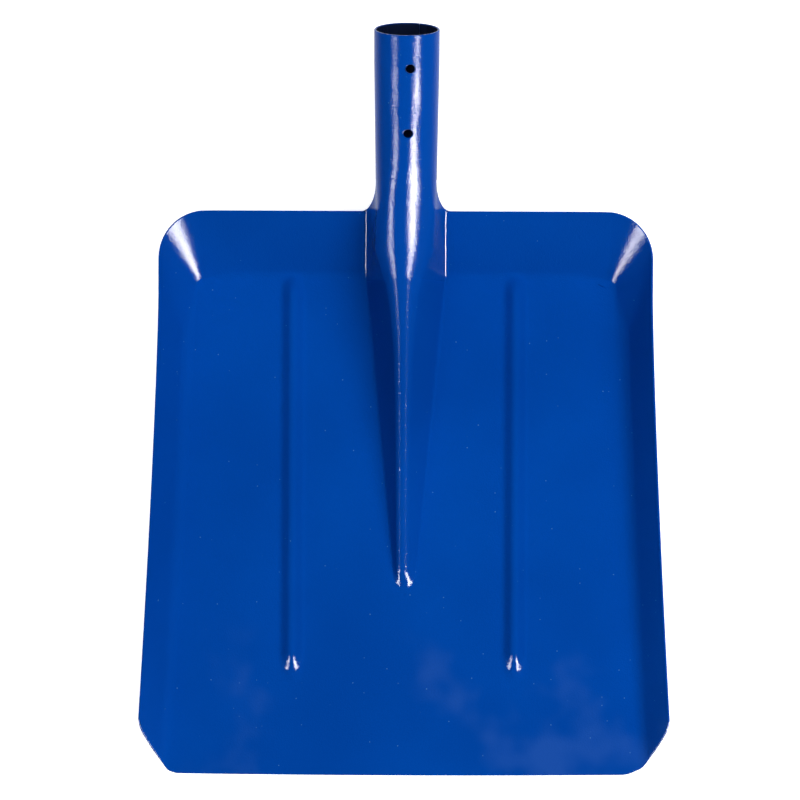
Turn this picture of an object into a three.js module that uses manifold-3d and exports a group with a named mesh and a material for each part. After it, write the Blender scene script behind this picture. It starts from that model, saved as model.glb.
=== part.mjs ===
// Head of a grain scoop shovel: a pressed sheet-steel pan (blade) and a rolled handle socket,
// joined by weld beads at the neck. Millimetres. +Y runs up the socket, +Z is the open side of
// the pan, z = 0 is the flat underside of the floor, and x = 0 is the plane of symmetry.
import * as THREE from 'three';
import Module from 'manifold-3d';
import { mergeVertices } from 'three/addons/utils/BufferGeometryUtils.js';

// ---- driving dimensions -------------------------------------------------------------------
const SHEET = 1.5;             // thickness of the steel
const JOINT_GAP = 0.3;         // clearance between two pieces that touch

const FRONT_Y = -250.1;        // front edge, at its middle
const FRONT_BOW = 0.9;         // how far the front edge falls back towards its ends
const RIM_BACK_Y = 131;      // top edge of the back wall
const FOLD_BACK_Y = 90;        // fold between the floor and the back wall
const RIM_HALF_BACK = 165;   // half width across the rims, at the back
const RIM_HALF_GROWTH = 13.6;  // how much wider each side is at the front
const RIM_GROWTH_FROM = 75;    // the sides run parallel behind this station
const RIM_GROWTH_LENGTH = 285;
const RIM_GROWTH_POWER = 1.3;
const SIDE_RUN = 16;           // plan width of a side wall, fold to rim
const RIM_HEIGHT_FRONT = 20;
const RIM_HEIGHT_BACK = 32;
const FOLD_RADIUS = 13;        // bend radius between the floor and the walls
const CORNER_RADIUS = 32;      // back corners, in plan
const CHAMFER_RIM_Y = -215;    // where the cut-off front corner leaves the rim
const CHAMFER_FRONT_X = 158.3; // where it would meet the front edge
const CHAMFER_BLEND = 3;       // rounding of the chamfer into the front edge

const RIB_X = 75.5;            // the two straight ribs in the floor
const RIB_HALF_WIDTH = 11;
const RIB_HEIGHT = 5.2;
const RIB_END_Y = -180;        // centre of a rib's round front end

const SOCKET_TILT = THREE.MathUtils.degToRad(21);
const SOCKET_LENGTH = 119.2;   // along the axis, from the rim station to the mouth
const SOCKET_AXIS_Z = 46.46;   // height of the socket axis over the back rim
const BORE_NECK = 18.4;        // inner radius at the neck
const BORE_MOUTH = 19.6;       // inner radius at the mouth
const TAPER_LENGTH = 97;       // along the axis; the bore is straight from there to the mouth
const SCREW_HOLE = 5.5;        // diameter
const SCREW_HOLES = [{ fromMouth: 21.4, x: 2.1 }, { fromMouth: 63.4, x: 1.4 }];
const SEAM_ANGLE = THREE.MathUtils.degToRad(24);  // the rear seam lies this far off the middle
const SEAM_GAP = 0.7;
const SEAM_START_Y = 176;      // station where the rolled edges meet
const FLARE_END_Y = 150;       // the neck's flare in plan is a quarter ellipse
const FLARE_LENGTH = 19;
const FLARE_WIDTH = 11.5;

const FROG_KINK_Y = 103;       // where the raised centre leaves the socket's slope
const FROG_SLOPE = THREE.MathUtils.degToRad(13);
const NOSE_Y = -112;           // start of the frog's rounded nose
const NOSE_LENGTH = 22.5;
const FROG_FOOT_BACK = 21.7;   // half width of the frog at its foot, at the back fold
const FROG_FOOT_NOSE = 7.6;    // the same at the nose
const CREST_RADIUS = 4.6;      // radius over the frog's ridge
const CREST_FADE = 36;         // how fast the socket's roundness turns into that ridge
const FOOT_BEND = 4.3;         // concave bend where the frog meets the floor
const FLARE_BEND = 7.5;        // the same where the neck meets the rim
const CREASE_X = 27;           // joint line between blade and socket, both sides of the neck
const BEAD_RADIUS = 0.9;       // weld beads

const RIB_FADE_START = -6;     // where the ribs die out, from the back fold
const RIB_FADE_END = 8;
const ARC_STEPS = 16;          // facets over the frog's crest, and in its foot bend
const BEND_FACETS = 10;

const BLUE = { color: 0x0145a2, roughness: 0.28, metalness: 0.0 };

// ---- small helpers ------------------------------------------------------------------------
const { lerp, clamp, smoothstep } = THREE.MathUtils;
const steps = (from, to, count) => Array.from({ length: count + 1 }, (_, k) => lerp(from, to, k / count));
const blueCoat = () => new THREE.MeshStandardMaterial(BLUE);

function geometryOf(vertices, triangles) {
  const geometry = new THREE.BufferGeometry();
  const numbers = vertices.flatMap((vertex) => vertex.toArray());
  geometry.setAttribute('position', new THREE.Float32BufferAttribute(numbers, 3));
  geometry.setIndex(triangles.flat());
  geometry.computeVertexNormals();
  return geometry;
}

// A closed sheet of even thickness on a grid of points, grid[row][column]. Its rows and columns
// run so that (next column) x (next row) points out of the thick side. Cells where keep() is
// false are left out, and every open edge is closed by a band.
function sheetGeometry(grid, keep = () => true) {
  const rows = grid.length;
  const columns = grid[0].length;
  const isCell = (row, column) => row >= 0 && column >= 0 && row < rows - 1 && column < columns - 1
    && keep(row, column);
  const normals = grid.map((line) => line.map(() => new THREE.Vector3()));
  for (let row = 0; row < rows - 1; row += 1) {
    for (let column = 0; column < columns - 1; column += 1) {
      if (!isCell(row, column)) continue;
      const across = grid[row + 1][column + 1].clone().sub(grid[row][column]);
      const back = grid[row + 1][column].clone().sub(grid[row][column + 1]);
      const normal = across.cross(back).normalize();
      for (const [r, c] of [[row, column], [row, column + 1], [row + 1, column], [row + 1, column + 1]]) {
        normals[r][c].add(normal);
      }
    }
  }
  const vertices = [];
  const index = new Map();
  const vertex = (row, column, side) => {
    const key = `${row},${column},${side}`;
    if (!index.has(key)) {
      index.set(key, vertices.length);
      const normal = normals[row][column].clone().normalize();
      vertices.push(grid[row][column].clone().addScaledVector(normal, side * SHEET));
    }
    return index.get(key);
  };
  const triangles = [];
  const quad = (a, b, c, d) => triangles.push([a, b, c], [a, c, d]);
  const band = (r0, c0, r1, c1) => {
    quad(vertex(r0, c0, 0), vertex(r1, c1, 0), vertex(r1, c1, 1), vertex(r0, c0, 1));
  };
  for (let row = 0; row < rows - 1; row += 1) {
    for (let column = 0; column < columns - 1; column += 1) {
      if (!isCell(row, column)) continue;
      const corners = [[row, column], [row, column + 1], [row + 1, column + 1], [row + 1, column]];
      quad(...corners.map(([r, c]) => vertex(r, c, 1)));
      quad(...corners.slice().reverse().map(([r, c]) => vertex(r, c, 0)));
      if (!isCell(row - 1, column)) band(row, column, row, column + 1);
      if (!isCell(row, column + 1)) band(row, column + 1, row + 1, column + 1);
      if (!isCell(row + 1, column)) band(row + 1, column + 1, row + 1, column);
      if (!isCell(row, column - 1)) band(row + 1, column, row, column);
    }
  }
  return geometryOf(vertices, triangles);
}

// Points at the given fractions of a polyline's length.
function alongPolyline(points, fractions) {
  const lengths = [0];
  for (let k = 1; k < points.length; k += 1) {
    lengths.push(lengths[k - 1] + points[k].distanceTo(points[k - 1]));
  }
  const total = lengths[lengths.length - 1];
  return fractions.map((fraction) => {
    const wanted = clamp(fraction, 0, 1) * total;
    let k = 1;
    while (k < points.length - 1 && lengths[k] < wanted) k += 1;
    const part = (wanted - lengths[k - 1]) / (lengths[k] - lengths[k - 1]);
    return points[k - 1].clone().lerp(points[k], part);
  });
}

// ---- the pan's walls ----------------------------------------------------------------------
const rimHalf = (y) => RIM_HALF_BACK
  + RIM_HALF_GROWTH * Math.pow(Math.max(0, RIM_GROWTH_FROM - y) / RIM_GROWTH_LENGTH, RIM_GROWTH_POWER);
const rimPart = (y) => (y - CHAMFER_RIM_Y) / (RIM_BACK_Y - CHAMFER_RIM_Y);
const rimHeight = (y) => lerp(RIM_HEIGHT_FRONT, RIM_HEIGHT_BACK, rimPart(y));

const WALL_STEPS = 3;
const BEND_STEPS = 4;
const RINGS = WALL_STEPS + BEND_STEPS;   // ring 0 is the rim, the last ring is the edge of the floor

// Offset out from the fold line, and height, of one ring on a wall of a given run and height.
function wallPoint(ring, run, height) {
  const slope = Math.atan2(height, run);
  const tangent = FOLD_RADIUS * Math.tan(slope / 2);
  const bend = (angle) => ({
    out: FOLD_RADIUS * Math.sin(angle) - tangent,
    up: FOLD_RADIUS * (1 - Math.cos(angle)),
  });
  if (ring >= WALL_STEPS) return bend(slope * (RINGS - ring) / BEND_STEPS);
  const top = bend(slope);
  return { out: lerp(run, top.out, ring / WALL_STEPS), up: lerp(height, top.up, ring / WALL_STEPS) };
}

const BACK_RUN = RIM_BACK_Y - FOLD_BACK_Y;
const sideWall = (ring, y) => wallPoint(ring, SIDE_RUN, rimHeight(y));
const backWall = (ring) => wallPoint(ring, BACK_RUN, RIM_HEIGHT_BACK);
const backRingY = (ring) => FOLD_BACK_Y + backWall(ring).out;
const JOINT_Y = backRingY(RINGS);   // the joint crosses the frog where the back wall starts to rise
const foldHalf = (y) => rimHalf(y) - SIDE_RUN;

// Height of the back wall over a station y, as a smooth function.
function backWallHeight(y) {
  const slope = Math.atan2(RIM_HEIGHT_BACK, BACK_RUN);
  const tangent = FOLD_RADIUS * Math.tan(slope / 2);
  const out = y - FOLD_BACK_Y;
  if (out <= -tangent) return 0;
  if (out >= tangent * Math.cos(slope)) return out * Math.tan(slope);
  return FOLD_RADIUS - Math.sqrt(FOLD_RADIUS ** 2 - (out + tangent) ** 2);
}

// ---- the raised centre: frog, skirt and socket share one family of sections -----------------
const socketTravel = (y) => (y - RIM_BACK_Y) / Math.cos(SOCKET_TILT);
const socketAxisZ = (y) => SOCKET_AXIS_Z + (y - RIM_BACK_Y) * Math.tan(SOCKET_TILT);
const boreRadius = (y) => lerp(BORE_NECK, BORE_MOUTH, clamp(socketTravel(y) / TAPER_LENGTH, 0, 1));
const UPRIGHT_STRETCH = 1 / Math.cos(SOCKET_TILT);   // an upright cut through the tilted tube is taller

// Radius over the crest, height of the crest and half width at the foot, over a station y.
function frogShape(y) {
  if (y >= FROG_KINK_Y) {
    const radius = boreRadius(y);
    return { radius, crest: socketAxisZ(y) + radius * UPRIGHT_STRETCH };
  }
  const kinkCrest = socketAxisZ(FROG_KINK_Y) + BORE_NECK * UPRIGHT_STRETCH;
  const away = Math.max(0, FROG_KINK_Y - Math.max(y, NOSE_Y));
  const radius = lerp(BORE_NECK, CREST_RADIUS, 1 - Math.exp(-away / CREST_FADE));
  return { radius, crest: kinkCrest - away * Math.tan(FROG_SLOPE) };
}

function frogFoot(y) {
  if (y > FOLD_BACK_Y) {
    const climbed = clamp(backWallHeight(y) / RIM_HEIGHT_BACK, 0, 1);
    return lerp(FROG_FOOT_BACK, BORE_NECK + 0.1, climbed);
  }
  const part = (FOLD_BACK_Y - Math.max(y, NOSE_Y)) / (FOLD_BACK_Y - NOSE_Y);
  return lerp(FROG_FOOT_BACK, FROG_FOOT_NOSE, Math.pow(part, 0.94));
}

// Right half of the upright section over a station y, crest first: an arc over the top, a flank
// tangent to it, and a concave bend that ends level with what is beside it.
function frogSection(y) {
  const { radius, crest } = frogShape(y);
  const foot = frogFoot(y);
  const stretch = UPRIGHT_STRETCH;
  const centre = crest - radius * stretch;
  const base = y > CREASE_END_Y ? flareLevel(y) : backWallHeight(y);
  // work in a plane squeezed so that the arc is a circle about the origin
  const footDown = (centre - base) / stretch;
  const footDistance = Math.hypot(foot, footDown);
  const toFoot = Math.atan2(foot, -footDown);
  const flankAngle = toFoot - Math.acos(Math.min(1, radius / footDistance));
  const points = [];
  const at = (x, z) => points.push(new THREE.Vector2(x, centre + z * stretch));
  const bendRadius = footBend(y);
  const bendLength = bendRadius * Math.tan(flankAngle / 2);
  const flankLength = Math.sqrt(Math.max(0, footDistance ** 2 - radius ** 2));
  if (bendLength <= flankLength) {
    for (const angle of steps(0, flankAngle, ARC_STEPS)) {
      at(radius * Math.sin(angle), radius * Math.cos(angle));
    }
    const bendX = foot + bendLength;
    for (const angle of steps(flankAngle, 0, BEND_FACETS)) {
      at(bendX - bendRadius * Math.sin(angle), bendRadius - bendRadius * Math.cos(angle) - footDown);
    }
    return points;
  }
  // no straight flank left: the bend touches the arc itself
  const drop = (bendRadius - footDown) / (radius + bendRadius);
  const touch = Math.acos(clamp(drop, -1, 1));
  const bendX = (radius + bendRadius) * Math.sin(touch);
  for (const angle of steps(0, touch, ARC_STEPS)) at(radius * Math.sin(angle), radius * Math.cos(angle));
  for (const angle of steps(touch, 0, BEND_FACETS).slice(1)) {
    at(bendX - bendRadius * Math.sin(angle), bendRadius - bendRadius * Math.cos(angle) - footDown);
  }
  return points;
}

const footBend = (y) => lerp(FOOT_BEND, FLARE_BEND, clamp((y - JOINT_Y) / (RIM_BACK_Y - JOINT_Y), 0, 1));

// Beyond the crease's end the flare's level bend sinks below the axis until the side is upright.
function flareLevel(y) {
  const part = clamp((y - CREASE_END_Y) / (FLARE_END_Y - CREASE_END_Y), 0, 1);
  return socketAxisZ(y) - lerp(socketAxisZ(CREASE_END_Y) - backWallHeight(CREASE_END_Y), footBend(y), part);
}

// The same section, carried out level to the crease or cut off at the flare's edge.
function neckSection(y, end) {
  const section = frogSection(y);
  const last = section[section.length - 1];
  if (last.x < end) return [...section, new THREE.Vector2(end, last.y)];
  const inside = section.filter((point) => point.x < end - 0.01);
  return [...inside, new THREE.Vector2(end, sectionHeight(section, end))];
}

// Inner edge of the flare in plan, and the station where the crease runs out into it.
function flareEdge(y) {
  const part = clamp((FLARE_END_Y - y) / FLARE_LENGTH, 0, 1);
  return BORE_NECK + FLARE_WIDTH * (1 - Math.sqrt(1 - part ** 2));
}
const CREASE_PART = (BORE_NECK + FLARE_WIDTH - CREASE_X) / FLARE_WIDTH;
const CREASE_END_Y = FLARE_END_Y - FLARE_LENGTH * Math.sqrt(1 - CREASE_PART ** 2);

// Height of a section at a given distance from the middle plane.
function sectionHeight(section, x) {
  const k = section.findIndex((point) => point.x >= x);
  if (k < 0) return section[section.length - 1].y;
  if (k === 0) return section[0].y;
  const [a, b] = [section[k - 1], section[k]];
  return lerp(a.y, b.y, (x - a.x) / (b.x - a.x));
}

// ---- blade --------------------------------------------------------------------------------
const FROG_FRACTIONS = [0, 0.09, 0.2, 0.36, 0.54, 0.7, 0.82, 0.91, 1];
const RIB_FRACTIONS = [-1, -0.68, -0.35, 0, 0.35, 0.68, 1];
const FLOOR_ROWS = [76, 66, 54, 40, 20, 0, -20, -40, -60, -80, -97, NOSE_Y, -118, -124, -130,
  NOSE_Y - NOSE_LENGTH, -146, -158, -170, RIB_END_Y, -184, -188, RIB_END_Y - RIB_HALF_WIDTH, -205,
  -219, -234, FRONT_Y];
const CORNER_RETURN_Y = 40;    // rows in front of this are straight across
const CORNER_RETURN_X = 98;    // columns inside this are straight along
const CHAMFER_RETURN_Y = -205; // rows behind this don't feel the cut-off corners

// Columns of the right half, from the middle out: what each one follows.
function halfColumns() {
  const columns = FROG_FRACTIONS.map((fraction) => ({ kind: 'frog', fraction }));
  for (const fraction of [0.33, 0.67]) columns.push({ kind: 'gap', fraction });
  for (const fraction of RIB_FRACTIONS) columns.push({ kind: 'rib', fraction });
  for (const x of [CORNER_RETURN_X, 118]) columns.push({ kind: 'fixed', x });
  for (let ring = RINGS; ring >= 0; ring -= 1) columns.push({ kind: 'ring', ring });
  return columns;
}

function ribHeight(x, y) {
  const along = Math.max(0, RIB_END_Y - y);
  const distance = Math.hypot(Math.abs(x) - RIB_X, along) / RIB_HALF_WIDTH;
  if (distance >= 1) return 0;
  const fade = 1 - smoothstep(y, FOLD_BACK_Y + RIB_FADE_START, FOLD_BACK_Y + RIB_FADE_END);
  return RIB_HEIGHT * Math.cos(distance * Math.PI / 2) ** 2 * fade;
}

// Front edge of the pan at x, with the cut-off corners.
function frontEdge(x) {
  const straight = FRONT_Y + FRONT_BOW * (x / CHAMFER_FRONT_X) ** 2;
  const rise = (CHAMFER_RIM_Y - FRONT_Y) / (rimHalf(CHAMFER_RIM_Y) - CHAMFER_FRONT_X);
  const chamfer = FRONT_Y + rise * (x - CHAMFER_FRONT_X);
  return (straight + chamfer + Math.hypot(straight - chamfer, CHAMFER_BLEND)) / 2;
}

// Plan radius of the corner that a ring or a row beside the floor turns through.
const ringRadius = (ring) => (ring <= WALL_STEPS ? CORNER_RADIUS : CORNER_RADIUS - 3 * (ring - WALL_STEPS));

// A point at a fraction of the way from the middle of a corner arc to the end of one leg, given
// as the distances back from the sharp corner along that leg and off it.
function roundedLeg(fraction, legLength, radius) {
  const halfArc = radius * Math.PI / 4;
  const travel = fraction * (halfArc + legLength - radius);
  if (travel >= halfArc) return { along: radius + travel - halfArc, off: 0 };
  const angle = Math.PI / 4 - travel / radius;
  return { along: radius - radius * Math.sin(angle), off: radius - radius * Math.cos(angle), angle };
}

// Height round a back corner, from the side wall's ring to the back wall's ring.
const cornerHeight = (ring, y, turn) => lerp(sideWall(ring, y).up, backWall(ring).up, smoothstep(turn, 0, 1));

function bladeGrid() {
  const half = halfColumns();
  const rowNames = [...FLOOR_ROWS].reverse().map((y) => ({ y }));
  for (let ring = RINGS; ring >= 0; ring -= 1) rowNames.push({ ring, y: backRingY(ring) });
  const noseSection = frogSection(NOSE_Y);
  const noseEnd = noseSection[noseSection.length - 1].x;
  const nosePoints = alongPolyline(noseSection, FROG_FRACTIONS);

  // nominal place of a column on an uncut, square-cornered pan, and its height there
  function nominal(column, y) {
    if (column.kind === 'frog') {
      const k = FROG_FRACTIONS.indexOf(column.fraction);
      if (y >= NOSE_Y) {
        const point = alongPolyline(frogSection(y), [column.fraction])[0];
        return { x: point.x, z: point.y };
      }
      const run = (NOSE_Y - y) / NOSE_LENGTH;
      const x = nosePoints[k].x;
      const radial = noseEnd * Math.hypot(x / noseEnd, run);
      return { x, z: radial >= noseEnd ? 0 : sectionHeight(noseSection, radial) };
    }
    if (column.kind === 'ring') {
      const wall = sideWall(column.ring, y);
      return { x: foldHalf(y) + wall.out, z: wall.up };
    }
    const section = frogSection(Math.max(y, NOSE_Y));
    const frogEnd = section[section.length - 1].x;
    const ribStart = RIB_X - RIB_HALF_WIDTH;
    const places = {
      gap: () => lerp(frogEnd, ribStart, column.fraction),
      rib: () => RIB_X + column.fraction * RIB_HALF_WIDTH,
      fixed: () => column.x,
    };
    const x = places[column.kind]();
    return { x, z: backWallHeight(y) + ribHeight(x, y) };
  }

  function place(column, row) {
    if (column.kind === 'ring' && (row.ring === undefined || row.ring >= column.ring)) {
      return placeOnSide(column, row);
    }
    if (row.ring !== undefined) return placeOnBack(column, row);
    let { y } = row;
    let { x, z } = nominal(column, y);
    if (y < CHAMFER_RETURN_Y) {
      const edge = frontEdge(x);
      y = lerp(edge, CHAMFER_RETURN_Y, (y - FRONT_Y) / (CHAMFER_RETURN_Y - FRONT_Y));
      ({ x, z } = nominal(column, y));
    }
    return new THREE.Vector3(x, y, z);
  }

  function placeOnSide(column, row) {
    const top = backRingY(column.ring);
    const radius = ringRadius(column.ring);
    if (row.y <= CORNER_RETURN_Y) {
      let { y } = row;
      if (y < CHAMFER_RETURN_Y) {
        let x = nominal(column, y).x;
        for (let pass = 0; pass < 6; pass += 1) x = nominal(column, frontEdge(x)).x;
        y = lerp(frontEdge(x), CHAMFER_RETURN_Y, (y - FRONT_Y) / (CHAMFER_RETURN_Y - FRONT_Y));
      }
      const { x, z } = nominal(column, y);
      return new THREE.Vector3(x, y, z);
    }
    const leg = roundedLeg((top - row.y) / (top - CORNER_RETURN_Y), top - CORNER_RETURN_Y, radius);
    const y = top - leg.along;
    const { x } = nominal(column, y);
    const turn = leg.angle === undefined ? 0 : leg.angle / (Math.PI / 2);
    return new THREE.Vector3(x - leg.off, y, cornerHeight(column.ring, y, turn));
  }

  function placeOnBack(column, row) {
    const { ring, y } = row;
    const { x, z } = nominal(column, y);
    if (column.kind === 'frog') return placeOnJoint(column, row, x, z);
    if (x <= CORNER_RETURN_X && column.kind !== 'ring') return new THREE.Vector3(x, y, z);
    const side = foldHalf(y) + sideWall(ring, y).out;
    const legLength = side - CORNER_RETURN_X;
    const leg = roundedLeg((side - x) / legLength, legLength, ringRadius(ring));
    const turn = leg.angle === undefined ? 1 : 1 - leg.angle / (Math.PI / 2);
    return new THREE.Vector3(side - leg.along, y - leg.off, cornerHeight(ring, y - leg.off, turn));
  }

  // the pan's side of the joint: half a gap short of it across the frog and beside the neck
  function placeOnJoint(column, row, x, z) {
    const atCrease = column.fraction === 1;
    const outer = atCrease ? CREASE_X + JOINT_GAP / 2 : x;
    if (row.ring === RINGS) return new THREE.Vector3(outer, row.y - JOINT_GAP / 2, atCrease ? 0 : z);
    if (row.ring > 0 || !atCrease) return new THREE.Vector3(outer, row.y, z);
    return new THREE.Vector3(outer, CREASE_END_Y, backWallHeight(CREASE_END_Y));
  }

  return rowNames.map((row) => {
    const right = half.map((column) => place(column, row));
    const left = right.slice(1).reverse().map((point) => new THREE.Vector3(-point.x, point.y, point.z));
    return [...left, ...right];
  });
}

function bladeGeometry() {
  const grid = bladeGrid();
  const middle = (grid[0].length - 1) / 2;
  const jointRow = grid.length - 1 - RINGS;
  const neckColumns = FROG_FRACTIONS.length - 1;
  return sheetGeometry(grid, (row, column) => {
    const beyond = column < middle ? middle - column : column + 1 - middle;
    return row < jointRow || beyond > neckColumns;
  });
}

// ---- socket -------------------------------------------------------------------------------
const HALF_FRACTIONS = [0.08, 0.17, 0.26, 0.35, 0.44, 0.53, 0.62, 0.71, 0.8, 0.88, 0.945, 0.983, 1];
const SOCKET_FRACTIONS = [...HALF_FRACTIONS.map((part) => -part).reverse(), 0, ...HALF_FRACTIONS];
const SKIRT_ROWS = [...steps(JOINT_Y + 1.5 * JOINT_GAP, CREASE_END_Y, 7), 133, 136.5, 141, 145.5];
const TUBE_ROWS = [FLARE_END_Y, 155, 160, 165, 170.5, SEAM_START_Y, 200, 222];
const PLANE_TURN_END_Y = 172;      // from here on the stations are square to the axis

// A point of the socket's bore: a station along the axis, and an angle round it from the crest.
function borePoint(travel, angle, extra = 0) {
  const y = RIM_BACK_Y + travel * Math.cos(SOCKET_TILT);
  const plane = SOCKET_TILT * smoothstep(y, FLARE_END_Y, PLANE_TURN_END_Y);
  const radius = boreRadius(y) + extra;
  const up = radius * Math.cos(angle) / Math.cos(SOCKET_TILT - plane);
  const aside = radius * Math.sin(angle);
  return new THREE.Vector3(aside, y - up * Math.sin(plane), socketAxisZ(y) + up * Math.cos(plane));
}

function skirtRow(y) {
  const end = CREASE_X - JOINT_GAP / 2;
  const half = neckSection(y, y > CREASE_END_Y ? Math.min(end, flareEdge(y)) : end);
  return SOCKET_FRACTIONS.map((fraction) => {
    const point = alongPolyline(half, [Math.abs(fraction)])[0];
    return new THREE.Vector3(Math.sign(fraction) * point.x, y, point.y);
  });
}

// The rolled edges close from upright sides to a narrow seam, a little off the middle of the back.
function tubeRow(travel) {
  const y = RIM_BACK_Y + travel * Math.cos(SOCKET_TILT);
  const closed = smoothstep(y, FLARE_END_Y, SEAM_START_Y);
  const gap = SEAM_GAP / boreRadius(y) / 2;
  return SOCKET_FRACTIONS.map((fraction) => {
    const full = Math.PI - gap + (fraction < 0 ? SEAM_ANGLE : -SEAM_ANGLE);
    return borePoint(travel, fraction * lerp(Math.PI / 2, full, closed));
  });
}

function solidFrom(wasm, geometry) {
  const bare = geometry.clone();
  bare.deleteAttribute('normal');
  bare.deleteAttribute('uv');
  const merged = mergeVertices(bare, 1e-4);
  const mesh = new wasm.Mesh({
    numProp: 3,
    vertProperties: new Float32Array(merged.attributes.position.array),
    triVerts: new Uint32Array(merged.index.array),
  });
  return new wasm.Manifold(mesh);
}

function geometryFrom(solid) {
  const mesh = solid.getMesh();
  const geometry = new THREE.BufferGeometry();
  geometry.setAttribute('position', new THREE.BufferAttribute(mesh.vertProperties, 3));
  geometry.setIndex(new THREE.BufferAttribute(mesh.triVerts, 1));
  geometry.computeVertexNormals();
  return geometry;
}

function screwHoleCutter({ fromMouth, x }) {
  const cutter = new THREE.CylinderGeometry(SCREW_HOLE / 2, SCREW_HOLE / 2, 2 * BORE_MOUTH, 16);
  cutter.rotateX(Math.PI / 2);
  cutter.translate(x, 0, BORE_MOUTH);
  cutter.rotateX(SOCKET_TILT);
  const y = RIM_BACK_Y + (SOCKET_LENGTH - fromMouth) * Math.cos(SOCKET_TILT);
  return cutter.translate(0, y, socketAxisZ(y));
}

function socketGeometry(wasm) {
  const travels = [...TUBE_ROWS.map(socketTravel), SOCKET_LENGTH];
  let solid = solidFrom(wasm, sheetGeometry([...SKIRT_ROWS.map(skirtRow), ...travels.map(tubeRow)]));
  for (const hole of SCREW_HOLES) solid = solid.subtract(solidFrom(wasm, screwHoleCutter(hole)));
  return geometryFrom(solid);
}

// ---- weld beads ---------------------------------------------------------------------------
const BEAD_BELOW = JOINT_GAP + BEAD_RADIUS;    // centre of a bead, off the side it lies on
const ROOT_BEAD_START = 7;                     // how far up the wall, in plan, the root beads start

function beadGeometry(points, count) {
  const section = new THREE.Shape().absarc(0, 0, BEAD_RADIUS, 0, 2 * Math.PI);
  const path = new THREE.CatmullRomCurve3(points);
  return new THREE.ExtrudeGeometry(section, {
    steps: count, extrudePath: path, bevelEnabled: false, curveSegments: 4,
  });
}

// Up the outside of the back wall, behind the crease beside the neck.
function rootBead(side) {
  const slope = Math.atan2(RIM_HEIGHT_BACK, BACK_RUN);
  const points = [FOLD_BACK_Y + ROOT_BEAD_START, RIM_BACK_Y - 6 * BEAD_RADIUS].map((y) => new THREE.Vector3(
    side * CREASE_X,
    y + BEAD_BELOW * Math.sin(slope),
    backWallHeight(y) - BEAD_BELOW * Math.cos(slope),
  ));
  return beadGeometry(points, 8);
}

// Across the underside of the frog, under the joint between blade and socket.
function frogBead() {
  const half = neckSection(JOINT_Y, CREASE_X);
  const below = BEAD_BELOW + JOINT_GAP;
  const points = steps(-0.86, 0.86, 24).map((fraction) => {
    const [before, here, after] = alongPolyline(half, [-0.02, 0, 0.02].map((d) => Math.abs(fraction) + d));
    const tangent = after.clone().sub(before).normalize();
    const inward = new THREE.Vector2(tangent.y, -tangent.x).multiplyScalar(below);
    const x = Math.max(0, here.x + inward.x);
    return new THREE.Vector3(Math.sign(fraction) * x, JOINT_Y, here.y + inward.y);
  });
  return beadGeometry(points, 40);
}

// Down the rear seam, outside the tube.
function seamBead() {
  const first = socketTravel(SEAM_START_Y) + 4;
  const points = steps(first, SOCKET_LENGTH - 6, 6)
    .map((travel) => borePoint(travel, Math.PI - SEAM_ANGLE, SHEET + BEAD_BELOW));
  return beadGeometry(points, 10);
}

// ---- the whole head -----------------------------------------------------------------------
function piece(name, geometry) {
  const mesh = new THREE.Mesh(geometry, blueCoat());
  mesh.name = name;
  return mesh;
}

const wasm = await Module();
wasm.setup();

const group = new THREE.Group();
group.add(piece('blade', bladeGeometry()));
group.add(piece('socket', socketGeometry(wasm)));
group.add(piece('root_weld_left', rootBead(-1)));
group.add(piece('root_weld_right', rootBead(1)));
group.add(piece('frog_weld', frogBead()));
group.add(piece('seam_weld', seamBead()));

export default group;
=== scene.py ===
"""Looks of a grain scoop shovel head: a pressed pan and a rolled socket in glossy blue paint.

The shapes are worked out in millimetres from the part's driving sizes, in the frame of the
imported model, and turned into metres when a mesh is made. +Y runs up the socket, +Z is the open
side of the pan, and z = 0 is the underside of its floor.
"""
import math

import bpy
import numpy as np
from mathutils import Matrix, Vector


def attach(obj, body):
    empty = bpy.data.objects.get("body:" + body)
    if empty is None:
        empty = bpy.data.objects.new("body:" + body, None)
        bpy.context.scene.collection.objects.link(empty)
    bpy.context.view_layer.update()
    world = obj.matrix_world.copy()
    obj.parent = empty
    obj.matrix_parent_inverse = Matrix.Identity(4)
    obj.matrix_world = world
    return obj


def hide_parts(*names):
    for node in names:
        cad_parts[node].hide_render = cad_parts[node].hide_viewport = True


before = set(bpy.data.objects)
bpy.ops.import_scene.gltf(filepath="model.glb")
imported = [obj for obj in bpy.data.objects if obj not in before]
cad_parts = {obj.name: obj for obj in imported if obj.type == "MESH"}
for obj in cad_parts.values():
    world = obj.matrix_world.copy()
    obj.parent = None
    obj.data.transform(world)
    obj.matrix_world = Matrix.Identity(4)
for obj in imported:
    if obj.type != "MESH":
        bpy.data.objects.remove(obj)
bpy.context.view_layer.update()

MM = 0.001

# ---- sizes of the part, millimetres
SHEET = 1.5
FRONT_Y = -250.1
FRONT_BOW = 0.9
RIM_BACK_Y = 131.0
FOLD_BACK_Y = 90.0
RIM_HALF_BACK = 165.0
RIM_HALF_GROWTH = 13.6
RIM_GROWTH_FROM = 75.0
RIM_GROWTH_LENGTH = 285.0
RIM_GROWTH_POWER = 1.3
SIDE_RUN = 16.0
RIM_HEIGHT_FRONT = 20.0
RIM_HEIGHT_BACK = 32.0
FOLD_RADIUS = 13.0
CORNER_RADIUS_RIM = 32.0
CORNER_RADIUS_FLOOR = 15.0
CORNER_OPENING = 0.8  # power of the height with which it opens from one to the other
CORNER_FOLD_RADIUS = 4.5
CORNER_TIGHT_TO = 9.0  # the fold is tight up to here from the middle of the corner
CORNER_LOOSE_FROM = 36.0  # and as loose as along the sides from here on
CHAMFER_RIM_Y = -213.0  # each front corner is cut off from here on the rim
CHAMFER_FRONT_X = 158.3  # to this half width on the front edge
CHAMFER_FRONT_RADII = {-1: 10.0, 1: 19.0}  # by side, left and right
CHAMFER_SIDE_RADIUS = 20.0
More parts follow.
